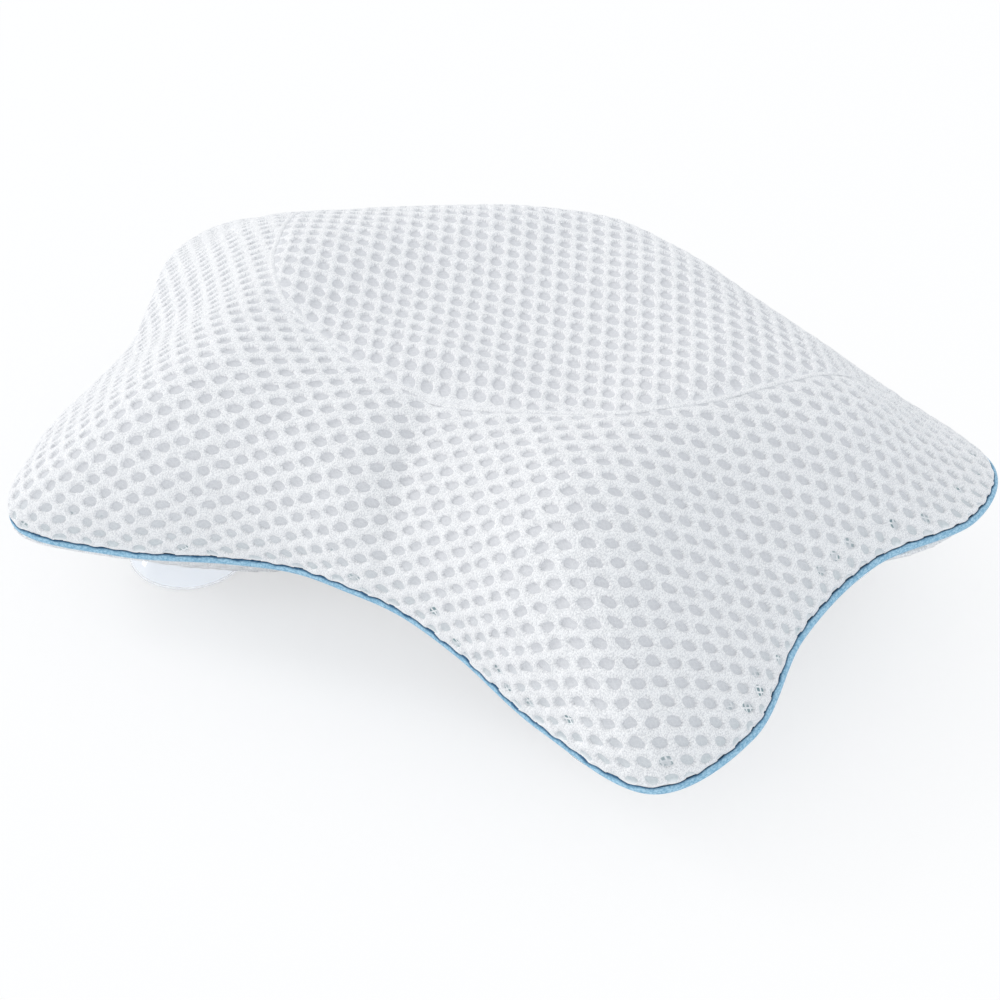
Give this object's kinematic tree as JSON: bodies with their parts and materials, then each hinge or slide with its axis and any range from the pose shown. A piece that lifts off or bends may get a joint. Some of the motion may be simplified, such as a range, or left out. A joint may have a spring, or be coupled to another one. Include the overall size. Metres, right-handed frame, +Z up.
{
  "type": "bath pillow",
  "caption": "Crowned bath pillow with head rest and shoulder lobes, open knitted mesh cover and piped edge, on clear suction cups that turn in eyelets in its base.",
  "frame": {"origin": "on the surface that the cups stand on, under the middle of the outline", "axes": "+X to the right along the length, -Y towards the neck edge, +Y towards the head edge, +Z up out of the surface"},
  "size_m": [0.418, 0.2857, 0.1188],
  "materials": {
    "mesh_cloth": "knitted spacer mesh, matt",
    "piping_tape": "fine knitted tape, matt",
    "cotton_cord": "twisted cord",
    "spacer_pad": "open spacer pad",
    "fibre_fill": "lofted fibre",
    "clear_vinyl": "clear soft vinyl, glossy",
    "eyelet_plastic": "satin white"
  },
  "bodies": {
    "pillow": {"front_panel": "mesh_cloth", "head_panel": "mesh_cloth", "base_panel": "mesh_cloth", "piping_cover": "piping_tape", "piping_cord": "cotton_cord", "base_pad": "spacer_pad", "head_fill": "fibre_fill", "left_wing_fill": "fibre_fill", "right_wing_fill": "fibre_fill", "eyelet_front_left": "eyelet_plastic", "eyelet_front_right": "eyelet_plastic", "eyelet_middle_front": "eyelet_plastic", "eyelet_middle_back": "eyelet_plastic", "eyelet_back_left": "eyelet_plastic", "eyelet_back_right": "eyelet_plastic", "washer_front_left": "eyelet_plastic", "washer_front_right": "eyelet_plastic", "washer_middle_front": "eyelet_plastic", "washer_middle_back": "eyelet_plastic", "washer_back_left": "eyelet_plastic", "washer_back_right": "eyelet_plastic"},
    "cup_front_left": {"suction_cup_front_left": "clear_vinyl"},
    "cup_front_right": {"suction_cup_front_right": "clear_vinyl"},
    "cup_middle_front": {"suction_cup_middle_front": "clear_vinyl"},
    "cup_middle_back": {"suction_cup_middle_back": "clear_vinyl"},
    "cup_back_left": {"suction_cup_back_left": "clear_vinyl"},
    "cup_back_right": {"suction_cup_back_right": "clear_vinyl"}
  },
  "joints": [
    {"name": "cup_front_left_turn", "type": "hinge", "parent": "pillow", "child": "cup_front_left", "pos_m": [-0.11043, -0.07959, 0.0165], "axis": [0, 0, 1], "continuous": true},
    {"name": "cup_front_right_turn", "type": "hinge", "parent": "pillow", "child": "cup_front_right", "pos_m": [0.11043, -0.07959, 0.0165], "axis": [0, 0, 1], "continuous": true},
    {"name": "cup_middle_front_turn", "type": "hinge", "parent": "pillow", "child": "cup_middle_front", "pos_m": [0, -0.02268, 0.0165], "axis": [0, 0, 1], "continuous": true},
    {"name": "cup_middle_back_turn", "type": "hinge", "parent": "pillow", "child": "cup_middle_back", "pos_m": [0, 0.06804, 0.0165], "axis": [0, 0, 1], "continuous": true},
    {"name": "cup_back_left_turn", "type": "hinge", "parent": "pillow", "child": "cup_back_left", "pos_m": [-0.13711, 0.06352, 0.0165], "axis": [0, 0, 1], "continuous": true},
    {"name": "cup_back_right_turn", "type": "hinge", "parent": "pillow", "child": "cup_back_right", "pos_m": [0.13711, 0.06352, 0.0165], "axis": [0, 0, 1], "continuous": true}
  ]
}
